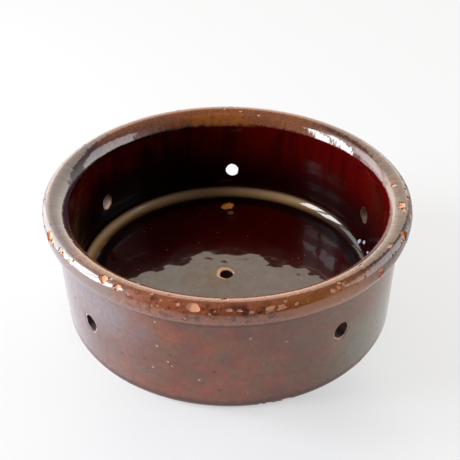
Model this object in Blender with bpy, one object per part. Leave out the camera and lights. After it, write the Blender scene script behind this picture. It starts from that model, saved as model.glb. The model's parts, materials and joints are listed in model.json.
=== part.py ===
"""A wheel-thrown cheese draining bowl: a pierced clay body under two coats of glaze.

The clay is one turned form with a flat floor, an upright wall and a rolled rim. Drain holes are
pierced through the wall, sloping down and out, and one more goes through the floor. One glaze
coat was poured inside, the other covers the rim and the outside, and both stand back from the
holes and from the bare foot. Units are metres, +Z is up, and the bowl stands on z = 0.
"""

import math

import bmesh
import bpy
from mathutils import Matrix, Vector

# Clay form, measured on the bare clay
CLAY_HEIGHT = 0.0603
INSIDE_RADIUS = 0.0735
INSIDE_FLARE = 0.0003
FLOOR_THICKNESS = 0.0098
FLOOR_FILLET_RADIUS = 0.0086
WALL_THICKNESS_UNDER_RIM = 0.0053
WALL_THICKNESS_AT_FOOT = 0.0047

# Rolled rim and rounded foot
RIM_OVERHANG = 0.0041
RIM_ROLL_HEIGHT = 0.0118
RIM_INNER_ROUND = 0.0062
RIM_EDGE_WIDTH = 0.0024
RIM_EDGE_DROP = 0.0044
NECK_FILLET_RADIUS = 0.0012
FOOT_ROUND_WIDTH = 0.0030
FOOT_ROUND_HEIGHT = 0.0030

# Glaze coats
GLAZE_THICKNESS = 0.00045
GLAZE_CLEARANCE = 0.0003
GLAZE_SEAM_DROP = 0.0006
FOOT_GLAZE_ANGLE = math.radians(42)

# Drain holes: compass angle and height half-way through the wall, as pierced by hand
DRAIN_DIAMETER = 0.0068
DRAIN_SLOPE = math.radians(28)
BARE_RING_WIDTH = 0.0008
WALL_DRAINS = (
    (math.radians(88.6), 0.0245),
    (math.radians(149.8), 0.0265),
    (math.radians(221.6), 0.0262),
    (math.radians(307.0), 0.0327),
    (math.radians(19.5), 0.0278),
)
FLOOR_DRAIN_X = -0.0009
FLOOR_DRAIN_Y = -0.0004

# Facets and construction
TURN_STEPS = 56
DRAIN_SIDES = 14
ARC_STEP = math.radians(23)
SHARP_ANGLE = math.radians(35)
MERGE_DISTANCE = 0.00001
ROD_THICKNESSES = 3

# Finishes
CLAY_COLOUR = (0.62, 0.30, 0.17, 1.0)
CLAY_ROUGHNESS = 0.85
INNER_GLAZE_COLOUR = (0.105, 0.010, 0.006, 1.0)
INNER_GLAZE_ROUGHNESS = 0.12
OUTER_GLAZE_COLOUR = (0.170, 0.045, 0.024, 1.0)
OUTER_GLAZE_ROUGHNESS = 0.22


def arc(centre, radius_r, radius_z, start, end):
    """Points of an elliptical arc in the (r, z) half plane, both ends included."""
    steps = max(2, math.ceil(abs(end - start) / ARC_STEP))
    points = []
    for step in range(steps + 1):
        angle = start + (end - start) * step / steps
        points.append(Vector((centre[0] + radius_r * math.cos(angle),
                              centre[1] + radius_z * math.sin(angle))))
    return points


def joined(*stretches):
    """Profile stretches end to end, without the points that two of them share."""
    points = []
    for point in (point for stretch in stretches for point in stretch):
        if not points or (point - points[-1]).length > MERGE_DISTANCE:
            points.append(point)
    return points


def inside_radius(z):
    """Radius of the clay's inner wall, which opens slightly towards the rim."""
    share = (z - FLOOR_THICKNESS) / (CLAY_HEIGHT - FLOOR_THICKNESS)
    return INSIDE_RADIUS + INSIDE_FLARE * share


def roll_bottom():
    """Height where the rim roll meets the outer wall."""
    return CLAY_HEIGHT - RIM_ROLL_HEIGHT


def outside_radius(z):
    """Radius of the clay's outer wall between the foot and the rim roll."""
    foot = INSIDE_RADIUS + WALL_THICKNESS_AT_FOOT
    top = inside_radius(roll_bottom()) + WALL_THICKNESS_UNDER_RIM
    share = (z - FOOT_ROUND_HEIGHT) / (roll_bottom() - FOOT_ROUND_HEIGHT)
    return foot + (top - foot) * share


def rim_radius():
    """Outermost radius of the clay, at the belly of the rim roll."""
    return outside_radius(roll_bottom()) + RIM_OVERHANG


def inner_round():
    """Rounding of the rim's inner shoulder, limited by the width of the rim."""
    return min(RIM_INNER_ROUND, rim_radius() - RIM_EDGE_WIDTH - inside_radius(CLAY_HEIGHT))


def seam_height():
    """Height on the inner wall where the two glaze coats meet."""
    return CLAY_HEIGHT - inner_round() - GLAZE_SEAM_DROP


def inside_section(top):
    """Floor, fillet and inner wall, from the axis up to a height."""
    fillet_top = FLOOR_THICKNESS + FLOOR_FILLET_RADIUS
    centre = (inside_radius(fillet_top) - FLOOR_FILLET_RADIUS, fillet_top)
    fillet = arc(centre, FLOOR_FILLET_RADIUS, FLOOR_FILLET_RADIUS, -math.pi / 2, 0.0)
    return joined([Vector((0.0, FLOOR_THICKNESS))], fillet, [Vector((inside_radius(top), top))])


def rim_section(bottom):
    """Rolled rim, from a height on the inner wall over the crest and down to the neck."""
    shoulder_height = CLAY_HEIGHT - inner_round()
    shoulder = arc((inside_radius(shoulder_height) + inner_round(), shoulder_height),
                   inner_round(), inner_round(), math.pi, math.pi / 2)
    edge_height = CLAY_HEIGHT - RIM_EDGE_DROP
    edge = arc((rim_radius() - RIM_EDGE_WIDTH, edge_height),
               RIM_EDGE_WIDTH, RIM_EDGE_DROP, math.pi / 2, 0.0)
    belly_width = RIM_OVERHANG - NECK_FILLET_RADIUS
    belly_drop = RIM_ROLL_HEIGHT - RIM_EDGE_DROP - NECK_FILLET_RADIUS
    belly = arc((rim_radius() - belly_width, edge_height),
                belly_width, belly_drop, 0.0, -math.pi / 2)
    neck = arc((outside_radius(roll_bottom()) + NECK_FILLET_RADIUS, roll_bottom()),
               NECK_FILLET_RADIUS, NECK_FILLET_RADIUS, math.pi / 2, math.pi)
    return joined([Vector((inside_radius(bottom), bottom))], shoulder, edge, belly, neck)


def foot_section(start, end):
    """Stretch of the rounded foot, between two angles below the horizontal."""
    centre = (outside_radius(FOOT_ROUND_HEIGHT) - FOOT_ROUND_WIDTH, FOOT_ROUND_HEIGHT)
    return arc(centre, FOOT_ROUND_WIDTH, FOOT_ROUND_HEIGHT, -start, -end)


def direction(a, b):
    """Unit vector from one profile point to the next."""
    return (b - a).normalized()


def left_of(vector):
    """The vector turned a quarter turn to the left in the (r, z) half plane."""
    return Vector((-vector.y, vector.x))


def offset(points, distance):
    """Profile moved off the clay by a distance, with mitred corners."""
    moved = []
    last = len(points) - 1
    for index, point in enumerate(points):
        before = direction(points[max(index - 1, 0)], points[max(index, 1)])
        after = direction(points[min(index, last - 1)], points[min(index + 1, last)])
        normal = (left_of(before) + left_of(after)).normalized()
        mitre = distance / normal.dot(left_of(after))
        moved.append(point + normal * mitre)
    return moved


def coat_outline(points):
    """Closed or axis-to-axis outline of a glaze coat lying on a stretch of clay."""
    under = offset(points, GLAZE_CLEARANCE)
    over = offset(points, GLAZE_CLEARANCE + GLAZE_THICKNESS)
    return under + over[::-1]


def material(name, colour, roughness):
    """A plain non-metallic finish."""
    finish = bpy.data.materials.new(name)
    finish.use_nodes = True
    shader = finish.node_tree.nodes["Principled BSDF"]
    shader.inputs["Base Color"].default_value = colour
    shader.inputs["Roughness"].default_value = roughness
    shader.inputs["Metallic"].default_value = 0.0
    finish.diffuse_color = colour
    return finish


def mesh_object(name, form, finish=None):
    """Finish a bmesh as a smooth-shaded object in the scene."""
    bmesh.ops.recalc_face_normals(form, faces=form.faces)
    mesh = bpy.data.meshes.new(name)
    form.to_mesh(mesh)
    form.free()
    mesh.shade_smooth()
    mesh.set_sharp_from_angle(angle=SHARP_ANGLE)
    made = bpy.data.objects.new(name, mesh)
    bpy.context.scene.collection.objects.link(made)
    if finish is not None:
        mesh.materials.append(finish)
    return made


def turned(name, outline, closed, finish):
    """Spin an (r, z) outline round the Z axis into a closed solid."""
    form = bmesh.new()
    ring = [form.verts.new((point.x, 0.0, point.y)) for point in outline]
    edges = [form.edges.new(pair) for pair in zip(ring, ring[1:])]
    if closed:
        edges.append(form.edges.new((ring[-1], ring[0])))
    bmesh.ops.spin(form, geom=ring + edges, cent=(0, 0, 0), axis=(0, 0, 1),
                   angle=2 * math.pi, steps=TURN_STEPS, use_merge=True)
    bmesh.ops.remove_doubles(form, verts=form.verts, dist=MERGE_DISTANCE)
    return mesh_object(name, form, finish)


def drain_frames():
    """Placement of each drain hole: its centre, with local Z along the hole."""
    frames = []
    for angle, height in WALL_DRAINS:
        middle = (inside_radius(height) + outside_radius(height)) / 2
        turn = Matrix.Rotation(angle, 4, 'Z')
        tilt = Matrix.Rotation(math.pi / 2 + DRAIN_SLOPE, 4, 'Y')
        frames.append(turn @ Matrix.Translation((middle, 0.0, height)) @ tilt)
    frames.append(Matrix.Translation((FLOOR_DRAIN_X, FLOOR_DRAIN_Y, FLOOR_THICKNESS / 2)))
    return frames


def drain_cutter(name, radius):
    """One hidden cutter made of a rod through every drain hole, long enough to pass the clay."""
    thickest = max(WALL_THICKNESS_UNDER_RIM, WALL_THICKNESS_AT_FOOT, FLOOR_THICKNESS)
    length = ROD_THICKNESSES * thickest
    form = bmesh.new()
    for frame in drain_frames():
        bmesh.ops.create_cone(form, cap_ends=True, segments=DRAIN_SIDES, radius1=radius,
                              radius2=radius, depth=length, matrix=frame)
    cutter = mesh_object(name, form)
    cutter.hide_render = True
    cutter.display_type = 'WIRE'
    return cutter


def pierce(piece, cutter):
    """Cut the drain holes out of a piece."""
    cut = piece.modifiers.new("drain_holes", 'BOOLEAN')
    cut.operation = 'DIFFERENCE'
    cut.solver = 'EXACT'
    cut.object = cutter


for leftover in list(bpy.data.objects):
    bpy.data.objects.remove(leftover, do_unlink=True)

half_seam = GLAZE_CLEARANCE / 2
glazed_foot = foot_section(0.0, FOOT_GLAZE_ANGLE)
bare_foot = foot_section(FOOT_GLAZE_ANGLE, math.pi / 2)
clay_outline = joined(inside_section(seam_height()), rim_section(seam_height()),
                      glazed_foot, bare_foot, [Vector((0.0, 0.0))])
inner_outline = coat_outline(inside_section(seam_height() - half_seam))
outer_outline = coat_outline(joined(rim_section(seam_height() + half_seam), glazed_foot))

clay = material("fired_clay", CLAY_COLOUR, CLAY_ROUGHNESS)
inner_coat = material("inner_glaze", INNER_GLAZE_COLOUR, INNER_GLAZE_ROUGHNESS)
outer_coat = material("outer_glaze", OUTER_GLAZE_COLOUR, OUTER_GLAZE_ROUGHNESS)

clay_body = turned("clay_body", clay_outline, False, clay)
inner_glaze = turned("inner_glaze", inner_outline, False, inner_coat)
outer_glaze = turned("outer_glaze", outer_outline, True, outer_coat)

hole_rods = drain_cutter("drain_hole_rods", DRAIN_DIAMETER / 2)
bare_rods = drain_cutter("bare_ring_rods", DRAIN_DIAMETER / 2 + BARE_RING_WIDTH)
pierce(clay_body, hole_rods)
pierce(inner_glaze, bare_rods)
pierce(outer_glaze, bare_rods)

bowl = bpy.data.objects.new("cheese_draining_bowl", None)
bpy.context.scene.collection.objects.link(bowl)
for piece in (clay_body, inner_glaze, outer_glaze, hole_rods, bare_rods):
    piece.parent = bowl
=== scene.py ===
# %% [markdown]
# # A wheel-thrown cheese draining bowl
# The bowl is one piece of red earthenware, thrown on a wheel, pierced while the clay was soft and
# covered with brown glaze. This lesson dresses the measured solids: each solid is replaced by a
# finer piece of the same size, and the finishes are made with shader nodes.

# %% Load the measured frame
import json
import math
import random

import bmesh
import bpy
from mathutils import Matrix, Vector, noise

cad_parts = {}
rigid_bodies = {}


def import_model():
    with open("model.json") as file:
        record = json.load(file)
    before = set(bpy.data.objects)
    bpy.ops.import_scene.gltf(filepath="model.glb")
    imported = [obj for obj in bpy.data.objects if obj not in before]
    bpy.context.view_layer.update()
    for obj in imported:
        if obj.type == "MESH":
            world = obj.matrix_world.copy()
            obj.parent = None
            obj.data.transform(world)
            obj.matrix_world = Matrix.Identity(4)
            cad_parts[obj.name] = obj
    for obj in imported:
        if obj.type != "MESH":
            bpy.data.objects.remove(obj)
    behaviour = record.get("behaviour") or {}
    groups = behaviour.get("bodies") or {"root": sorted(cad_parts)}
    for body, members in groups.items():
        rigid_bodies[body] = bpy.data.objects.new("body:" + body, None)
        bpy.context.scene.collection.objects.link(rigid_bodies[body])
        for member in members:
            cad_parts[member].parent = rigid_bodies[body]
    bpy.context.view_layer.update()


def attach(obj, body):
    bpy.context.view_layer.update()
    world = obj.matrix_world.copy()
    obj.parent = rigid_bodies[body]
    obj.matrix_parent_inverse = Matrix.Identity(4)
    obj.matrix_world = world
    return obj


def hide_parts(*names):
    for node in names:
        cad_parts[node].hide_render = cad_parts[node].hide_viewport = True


for leftover in list(bpy.data.objects):
    bpy.data.objects.remove(leftover, do_unlink=True)

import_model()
scene = bpy.context.scene
scene.view_settings.view_transform = "Standard"
MM = 0.001

# %% [markdown]
# ## Camera
# The photograph looks down into the bowl from close by, so the rim's front edge is clearly larger
# than its back edge. A camera object looks along its own -Z, so its matrix holds the right, up and
# backward directions as columns. The slight roll is the tilt of the hand that held the camera.

# %% Set up the camera
CAMERA_PLACE = Vector((0.80, -315.36, 262.69)) * MM
CAMERA_DROP = 0.6212
CAMERA_ROLL = 0.0055
LENS = 63.53
SENSOR_WIDTH = 36.0

forward = Vector((0.0, math.cos(CAMERA_DROP), -math.sin(CAMERA_DROP)))
level = Vector((1.0, 0.0, 0.0))
upright = level.cross(forward)
right = level * math.cos(CAMERA_ROLL) + upright * math.sin(CAMERA_ROLL)
up = upright * math.cos(CAMERA_ROLL) - level * math.sin(CAMERA_ROLL)
camera = bpy.data.objects.new("camera", bpy.data.cameras.new("camera"))
camera.data.lens = LENS
camera.data.sensor_width = SENSOR_WIDTH
turn = Matrix((right, up, -forward)).transposed().to_4x4()
camera.matrix_world = Matrix.Translation(CAMERA_PLACE) @ turn
scene.collection.objects.link(camera)
scene.camera = camera
print("camera looks down", round(math.degrees(CAMERA_DROP), 1), "degrees")

# %% [markdown]
# ## Node helpers
# Every finish below is a small network of nodes. These helpers place a node, fill its sockets with
# numbers or link them to other nodes, and wrap the few steps that come back again and again. They
# all work on the tree in hand, the one that the name tree stands for at that moment. Most of them
# make masks: values from 0 to 1 that say how much of a colour or a gloss lies where.


# %% Place and link nodes
def emptied(owner):
    """The node tree of a material or a world, with nothing in it yet."""
    owner.use_nodes = True
    owner.node_tree.nodes.clear()
    return owner.node_tree


def fill(node, sockets):
    """Set each input of a node to a value, or link it to the socket that gives the value."""
    for socket, value in sockets.items():
        if isinstance(value, bpy.types.NodeSocket):
            tree.links.new(value, node.inputs[socket])
        else:
            node.inputs[socket].default_value = value
    return node


def place(kind, sockets, **options):
    """Add a node of a kind to the tree in hand, set its options, and fill or link its sockets."""
    made = tree.nodes.new("ShaderNode" + kind)
    for option, value in options.items():
        setattr(made, option, value)
    return fill(made, sockets)


def count(label):
    """Print how many nodes the tree in hand has."""
    print(label, "has", len(tree.nodes), "nodes")


# %% Reckon with masks and values
def sums(operation, first, second=0.0):
    """One step of arithmetic."""
    return place("Math", {0: first, 1: second}, operation=operation).outputs[0]


def scaled(value, gain, start):
    """A value times a gain, counted from a start."""
    return place("Math", {0: value, 1: gain, 2: start}, operation="MULTIPLY_ADD").outputs[0]


def both(first, *others):
    """Where several masks meet, or a mask made weaker by a number."""
    for other in others:
        first = sums("MULTIPLY", first, other)
    return first


def either(first, second):
    """The stronger of two masks."""
    return sums("MAXIMUM", first, second)


def without(first, second):
    """A mask where a second one leaves room for it."""
    return both(first, sums("SUBTRACT", 1.0, second))


def fade(value, low, high):
    """A mask that rises smoothly from 0 at low to 1 at high, or falls if high is the smaller."""
    sockets = {0: value, 1: low, 2: high, 3: 0.0, 4: 1.0}
    return place("MapRange", sockets, interpolation_type="SMOOTHSTEP").outputs[0]


def band(value, low, full, still, high):
    """A mask that rises from low to full, and falls again from still to high."""
    return both(fade(value, low, full), fade(value, high, still))


def ramp(value, low, high, least, most):
    """A value carried from one range to another along a straight line."""
    return place("MapRange", {0: value, 1: low, 2: high, 3: least, 4: most}).outputs[0]


# %% Find places, clouds and colours
def arrows(operation, first, second=(0.0, 0.0, 0.0)):
    """One step of arithmetic with vectors."""
    return place("VectorMath", {0: first, 1: second}, operation=operation).outputs[0]


def stretched(vector, gain):
    """A vector made longer or shorter."""
    return place("VectorMath", {0: vector, "Scale": gain}, operation="SCALE").outputs[0]


def reach_of(vector):
    """The length of a vector."""
    return place("VectorMath", {0: vector}, operation="LENGTH").outputs["Value"]


def part(vector, letter):
    """The X, Y or Z of a vector."""
    return place("SeparateXYZ", {0: vector}).outputs[letter]


def patch(where, centre, reach, soft=0.5):
    """A round mask about a place, full out to a share of its reach."""
    away = place("VectorMath", {0: where, 1: centre}, operation="DISTANCE").outputs["Value"]
    return fade(away, reach, reach * soft)


def cloud(where, scale, detail=2.0, roughness=0.5, stretch=(1.0, 1.0, 1.0)):
    """Soft random variation from 0 to 1, with features about one over scale units wide."""
    shaped = place("Mapping", {"Vector": where, "Scale": stretch}).outputs[0]
    sockets = {"Vector": shaped, "Scale": scale, "Detail": detail, "Roughness": roughness}
    return place("TexNoise", sockets).outputs[0]


def blend(mask, first, second, way="MIX"):
    """Two colours blended by a mask."""
    sockets = {0: mask, 6: first, 7: second}
    return place("Mix", sockets, data_type="RGBA", blend_type=way).outputs[2]


# %% [markdown]
# ## Floor, dome and lamps
# A white table under daylight: a wide pale floor, a dome that is white round the horizon and dimmer
# overhead and behind the camera, and upright panels for what stands round the table. Glaze is mostly
# seen by what it mirrors, so their places matter more than their strength. The floor is white to the
# camera and grows whiter with distance, but keeps the bowl's shadow. In mirrors its near end is dark,
# because that end lies in shade.


# %% Make the floor
def keep(name, form):
    """Turn a finished bmesh into an object of the scene."""
    made = bpy.data.objects.new(name, bpy.data.meshes.new(name))
    form.to_mesh(made.data)
    form.free()
    scene.collection.objects.link(made)
    return made


FLOOR_HALF = 20.0
FLOOR_SINK = 0.05 * MM

form = bmesh.new()
bmesh.ops.create_grid(form, x_segments=1, y_segments=1, size=FLOOR_HALF)
bmesh.ops.translate(form, verts=form.verts, vec=(0.0, 0.0, -FLOOR_SINK))
floor = keep("floor", form)
print("floor", 2 * FLOOR_HALF, "m wide")

# %% Paint the table
TABLE_PALE = (0.82, 0.825, 0.85, 1.0)
TABLE_WHITE = (0.965, 0.965, 0.96, 1.0)
TABLE_GLOOM = (0.05, 0.045, 0.04, 1.0)
WHITE_NEARBY = 0.70
WHITENS_FROM, WHITE_AT = 0.45, 1.3
SHADOW_MIDDLE = (0.005, -0.10, 0.0)
SHADOW_ENDS, SHADOW_FULL = 0.085, 0.035
SHADOW_DEPTH = 0.20
GLOOM_FROM, GLOOM_FULL = -0.14, -0.19

table = bpy.data.materials.new("pale_table")
tree = emptied(table)
spot = place("TexCoord", {}).outputs["Object"]
path = place("LightPath", {})
seen = either(path.outputs["Is Camera Ray"], path.outputs["Is Glossy Ray"])
seen = either(seen, path.outputs["Is Transmission Ray"])
shadow = patch(spot, SHADOW_MIDDLE, SHADOW_ENDS, SHADOW_FULL / SHADOW_ENDS)
nearby = scaled(shadow, -SHADOW_DEPTH, WHITE_NEARBY)
bleached = either(fade(reach_of(spot), WHITENS_FROM, WHITE_AT), nearby)
matt = place("BsdfDiffuse", {"Color": TABLE_PALE}).outputs[0]
white = place("Emission", {"Color": TABLE_WHITE, "Strength": 1.0}).outputs[0]
surface = place("MixShader", {0: both(bleached, seen), 1: matt, 2: white}).outputs[0]
gloom = place("Emission", {"Color": TABLE_GLOOM, "Strength": 1.0}).outputs[0]
shaded = fade(part(spot, "Y"), GLOOM_FROM, GLOOM_FULL)
mirrored = both(shaded, path.outputs["Is Glossy Ray"])
surface = place("MixShader", {0: mirrored, 1: surface, 2: gloom}).outputs[0]
clear = place("BsdfTransparent", {}).outputs[0]
below = place("NewGeometry", {}).outputs["Backfacing"]
surface = place("MixShader", {0: below, 1: surface, 2: clear}).outputs[0]
place("OutputMaterial", {"Surface": surface})
floor.data.materials.append(table)
count("table")

# %% Raise the dome
SKY_TINT = (1.0, 0.98, 0.94, 1.0)
HORIZON_WHITE = 0.95
OVERHEAD_GREY = 0.20
OVERHEAD_FROM, OVERHEAD_FULL = 0.12, 0.70
BEHIND_CAMERA = 0.15
BEHIND_FROM, BEHIND_FULL = -0.35, -0.70
DIM_FROM, DIM_FULL = 0.02, 0.10

world = bpy.data.worlds.new("dome")
tree = emptied(world)
aim = place("SeparateXYZ", {0: place("TexCoord", {}).outputs["Generated"]}).outputs
overhead = fade(aim["Z"], OVERHEAD_FROM, OVERHEAD_FULL)
glow = scaled(overhead, OVERHEAD_GREY - HORIZON_WHITE, HORIZON_WHITE)
behind = fade(aim["Y"], BEHIND_FROM, BEHIND_FULL)
behind = both(behind, fade(aim["Z"], DIM_FROM, DIM_FULL))
glow = both(glow, scaled(behind, BEHIND_CAMERA - 1.0, 1.0))
sky = place("Background", {"Color": SKY_TINT, "Strength": glow}).outputs[0]
place("OutputWorld", {"Surface": sky})
scene.world = world
print("dome", HORIZON_WHITE, "at the horizon,", OVERHEAD_GREY, "overhead")


# %% [markdown]
# The panels are a broad ivory wall behind the bowl, a pale wall on its right, a pale corner at the
# back left and a window of two panes on its left. Area lamps give an even glow, and each is sized by
# the angles that it fills as seen from the bowl, so it can be moved away without looking smaller.


# %% Hang the lamps
def panel(name, azimuth, away, low, high, half, radiance, hue):
    """An upright lamp given by compass angle, distance, the height angles of its lower and upper
    edge, half its width as an angle, and its brightness and colour."""
    facing = Matrix.Rotation(math.radians(azimuth), 4, "Z")
    bottom, top = (away * math.tan(math.radians(angle)) for angle in (low, high))
    width = 2.0 * away * math.tan(math.radians(half))
    lamp = bpy.data.lights.new(name, "AREA")
    lamp.shape = "RECTANGLE"
    lamp.size = width
    lamp.size_y = top - bottom
    lamp.energy = radiance * math.pi * width * (top - bottom)
    lamp.color = hue
    hung = bpy.data.objects.new(name, lamp)
    stand = Matrix.Translation((away, 0.0, (bottom + top) / 2.0))
    inward = Vector((-1.0, 0.0, 0.0)).to_track_quat("-Z", "Y").to_matrix().to_4x4()
    hung.matrix_world = facing @ stand @ inward
    scene.collection.objects.link(hung)
    print(name, "gives", round(lamp.energy, 1), "watts")


IVORY = (1.0, 0.87, 0.71)
PALE_BLUE = (0.92, 0.94, 1.0)
PALE_GREY = (0.95, 0.96, 1.0)
DAYLIGHT = (0.93, 0.96, 1.0)

panel("ivory_wall", 90.0, 2.0, 3.0, 50.0, 40.0, 1.95, IVORY)
panel("pale_wall", 8.0, 1.2, 1.0, 42.0, 24.0, 2.6, PALE_BLUE)
panel("pale_corner", 148.0, 1.4, 2.0, 40.0, 13.0, 2.4, PALE_GREY)
for name, azimuth in (("window_pane_front", 193.9), ("window_pane_back", 174.1)):
    panel(name, azimuth, 0.7, 2.0, 48.0, 7.5, 12.5, DAYLIGHT)

# %% [markdown]
# ## The profile
# A thrown form is the same all the way round, so half of its cross-section is enough. The line is
# drawn in the XZ plane with two strokes: a straight one, and a bend made by spinning the line's last
# vertex about a centre. Every stroke takes a lift, the height above the clay, so one drawing gives
# the clay and the glaze on it: outward bends grow with the lift and hollow ones shrink. A density
# sets how many steps a stroke has.


# %% Draw with straight strokes and bends
def dot(form, radius, height):
    """A first vertex of a profile line."""
    return form.verts.new((radius, 0.0, height))


def straight(form, start, radius, height, steps):
    """Carry the line straight on to a point, in even steps."""
    stride = (Vector((radius, 0.0, height)) - start.co) / steps
    for _ in range(steps):
        start = bmesh.ops.extrude_vert_indiv(form, verts=[start])["verts"][0]
        bmesh.ops.translate(form, verts=[start], vec=stride)
    return start


def bend(form, start, centre, degrees, steps, heighten=1.0):
    """Carry the line round a centre, clockwise if positive, and stretch the bend to an ellipse."""
    pivot = Vector((centre[0], 0.0, centre[1]))
    before = set(form.verts)
    spun = bmesh.ops.spin(form, geom=[start], cent=pivot, axis=(0.0, 1.0, 0.0),
                          angle=math.radians(degrees), steps=steps)
    fresh = [vert for vert in form.verts if vert not in before]
    bmesh.ops.scale(form, verts=fresh, vec=(1.0, 1.0, heighten),
                    space=Matrix.Translation(-pivot))
    return next(item for item in spun["geom_last"] if isinstance(item, bmesh.types.BMVert))


def rounded(form, line, facing, bends, lift, density):
    """Carry the line through a row of outward bends, each given by the clay's radius in
    millimetres, its angle and its steps, from where the surface faces an angle."""
    for radius, degrees, steps in bends:
        reach = radius * MM + lift
        aim = math.radians(facing)
        centre = (line.co.x - reach * math.cos(aim), line.co.z - reach * math.sin(aim))
        line = bend(form, line, centre, degrees, round(steps * density))
        facing -= degrees
    return line


# %% Draw the inside
CLAY_TOP = 60.3 * MM
FLOOR_THICK = 9.8 * MM
INSIDE_AT_FLOOR = 73.5 * MM
INSIDE_AT_TOP = 73.8 * MM
FILLET = 8.6 * MM
SEAM_DROP = 6.8 * MM
FLOOR_STEPS, FILLET_STEPS, INNER_WALL_STEPS = 60, 16, 30


def inside_at(height):
    """Radius of the clay's inner wall at a height."""
    share = (height - FLOOR_THICK) / (CLAY_TOP - FLOOR_THICK)
    return INSIDE_AT_FLOOR + (INSIDE_AT_TOP - INSIDE_AT_FLOOR) * share


def draw_inside(form, lift, density):
    """Floor, fillet and inner wall up to the seam between the two coats."""
    fillet_top = FLOOR_THICK + FILLET
    centre = (inside_at(fillet_top) - FILLET, fillet_top)
    line = dot(form, 0.0, FLOOR_THICK + lift)
    line = straight(form, line, centre[0], FLOOR_THICK + lift, round(FLOOR_STEPS * density))
    line = bend(form, line, centre, -90.0, round(FILLET_STEPS * density))
    seam = CLAY_TOP - SEAM_DROP
    return straight(form, line, inside_at(seam) - lift, seam, round(INNER_WALL_STEPS * density))


print("wall opens from", INSIDE_AT_FLOOR, "to", INSIDE_AT_TOP, "m inside")

# %% Draw the rim and the outside
WALL_TOP_OUTSIDE = 79.03 * MM
WALL_FOOT_OUTSIDE = 78.2 * MM
TOP_ENDS = 80.45 * MM
SHOULDER_DROP = 6.15 * MM
SHOULDER_BENDS = ((1.25, 15.0, 3), (8.75, 37.0, 11), (5.65, 38.0, 9))
EDGE_BENDS = ((3.10, 32.0, 8), (6.50, 12.0, 4), (0.85, 34.0, 7), (11.25, 12.0, 5))
ROLL_HEIGHT = 11.8 * MM
NECK = 1.2 * MM
FOOT_ROUND = 3.0 * MM
BELLY_STEPS, NECK_STEPS, OUTER_WALL_STEPS, FOOT_STEPS = 16, 6, 38, 8


def draw_outside(form, line, lift, density, foot_degrees):
    """Rim roll, neck, outer wall and foot, carried on from a first vertex at the seam."""
    shoulder_base = CLAY_TOP - SHOULDER_DROP
    line = straight(form, line, inside_at(shoulder_base) - lift, shoulder_base, 2)
    line = rounded(form, line, 180.0, SHOULDER_BENDS, lift, density)
    line = straight(form, line, TOP_ENDS, CLAY_TOP + lift, 1)
    line = rounded(form, line, 90.0, EDGE_BENDS, lift, density)
    roll_base = CLAY_TOP - ROLL_HEIGHT
    hollow = WALL_TOP_OUTSIDE + NECK
    stretch = (line.co.z - roll_base - NECK + lift) / (line.co.x - hollow)
    line = bend(form, line, (hollow, line.co.z), 90.0, round(BELLY_STEPS * density), stretch)
    line = bend(form, line, (hollow, roll_base), -90.0, round(NECK_STEPS * density))
    wall_steps = round(OUTER_WALL_STEPS * density)
    line = straight(form, line, WALL_FOOT_OUTSIDE + lift, FOOT_ROUND, wall_steps)
    foot = (WALL_FOOT_OUTSIDE - FOOT_ROUND, FOOT_ROUND)
    return bend(form, line, foot, foot_degrees, round(FOOT_STEPS * density))


print("rim rolls out", round((TOP_ENDS - WALL_TOP_OUTSIDE) / MM, 2), "mm before its edge")

# %% [markdown]
# ## Throwing the pieces
# Spinning the line about Z is the wheel. The hand that pulled the wall and the glaze that ran on it
# leave the surface slightly uneven, which hardly shows in the outline but bends every reflection.
# Each vertex moves along its normal by a fraction of a millimetre of smooth random noise, with rings
# as the fingers leave them, plainest on the outer floor. A bowl lifted off the wheel while soft also
# leans a little, here by one degree to the left.

# %% Leave the surface slightly uneven
WAVES = ((42.0, (0.0, 0.0, 0.0), 0.08), (95.0, (9.2, 0.4, 5.1), 0.040), (170.0, (3.1, 7.7, 1.3), 0.020))
WALL_RINGS = (260.0, 0.014)
FLOOR_RINGS = (170.0, 0.028)
RING_DRIFT = 12.0
FLOOR_GRIT = (380.0, (1.4, 6.6, 2.9), 0.006)
FLOOR_DEEP = 2.0 * MM
RINGS_FROM = 38.0 * MM
RINGS_RISE = 14.0 * MM


def wave(point, often, shift, tall):
    """Noise given by its features per metre, its shift and its height in millimetres."""
    return noise.noise(point * often + Vector(shift)) * (tall * MM)


def unevenness(point):
    """How far the surface stands off its true place: waves and ripples, rings, grit on the floor."""
    out = math.hypot(point.x, point.y)
    along = out + point.z
    rise = sum(wave(point, *row) for row in WAVES)
    often, tall = WALL_RINGS
    rise += noise.noise(Vector((5.3, 0.0, along * often))) * (tall * MM)
    if FLOOR_THICK < point.z < FLOOR_THICK + FLOOR_DEEP:
        often, tall = FLOOR_RINGS
        outward = min(1.0, max(0.0, (out - RINGS_FROM) / RINGS_RISE))
        rings = noise.noise(Vector((point.x * RING_DRIFT, 1.9, along * often)))
        rise += rings * (tall * MM) * outward
        rise += wave(point, *FLOOR_GRIT)
    return rise


print("waves stand up to", max(tall for _, _, tall in WAVES), "mm high")

# %% [markdown]
# A full spin of a fine line is slow, because every step works on all that is there. One sector is
# spun, its copies are spun after it, and the vertices where they meet are merged.

# %% Spin the pieces
SECTORS = 20
MERGE = 0.002 * MM
EVEN_FOOT = 2.0 * MM
LEAN = 0.016
UPRIGHT_AT = 28.0 * MM
WHEEL = {"cent": (0.0, 0.0, 0.0), "axis": (0.0, 0.0, 1.0)}


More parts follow.
